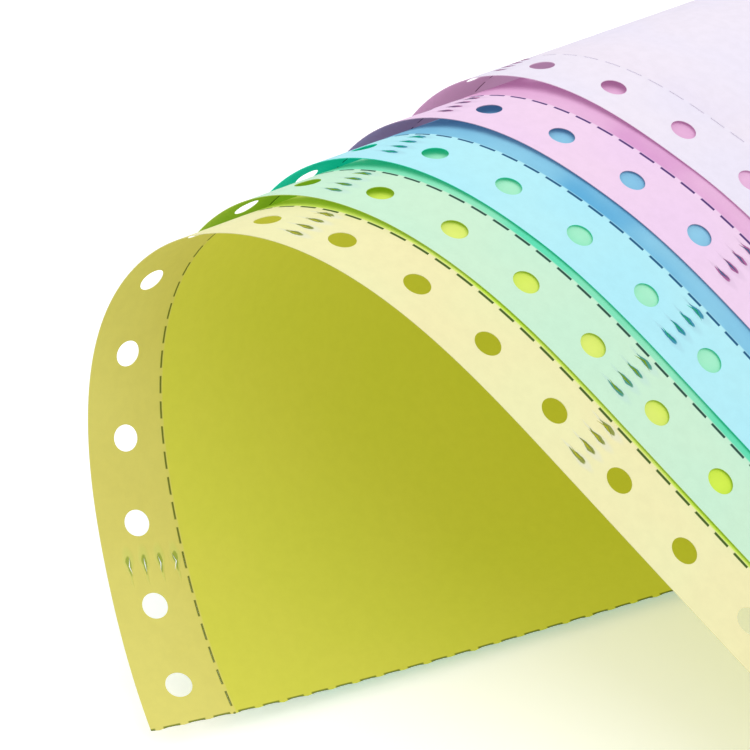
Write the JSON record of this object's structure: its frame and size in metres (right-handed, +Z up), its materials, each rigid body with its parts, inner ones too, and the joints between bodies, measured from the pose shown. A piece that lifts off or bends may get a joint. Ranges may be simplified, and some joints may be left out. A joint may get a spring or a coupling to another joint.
{
  "type": "continuous copy form set",
  "caption": "Set of punched continuous copy paper sheets in pastel colours, fanned sideways and curled over into an open tunnel.",
  "frame": {"origin": "under the middle of the box, on the surface that the set lies on", "axes": "+Y along the tunnel to the rear, the way each upper ply is set back; +X towards the leg that flares out; +Z up"},
  "size_m": [0.1918, 0.3588, 0.0695],
  "materials": {
    "yellow_paper": "matt uncoated",
    "green_paper": "matt uncoated",
    "blue_paper": "matt uncoated",
    "pink_paper": "matt uncoated",
    "white_paper": "matt uncoated"
  },
  "bodies": {
    "root": {"yellow_ply": "yellow_paper", "green_ply": "green_paper", "blue_ply": "blue_paper", "pink_ply": "pink_paper", "white_ply": "white_paper"}
  },
  "joints": []
}
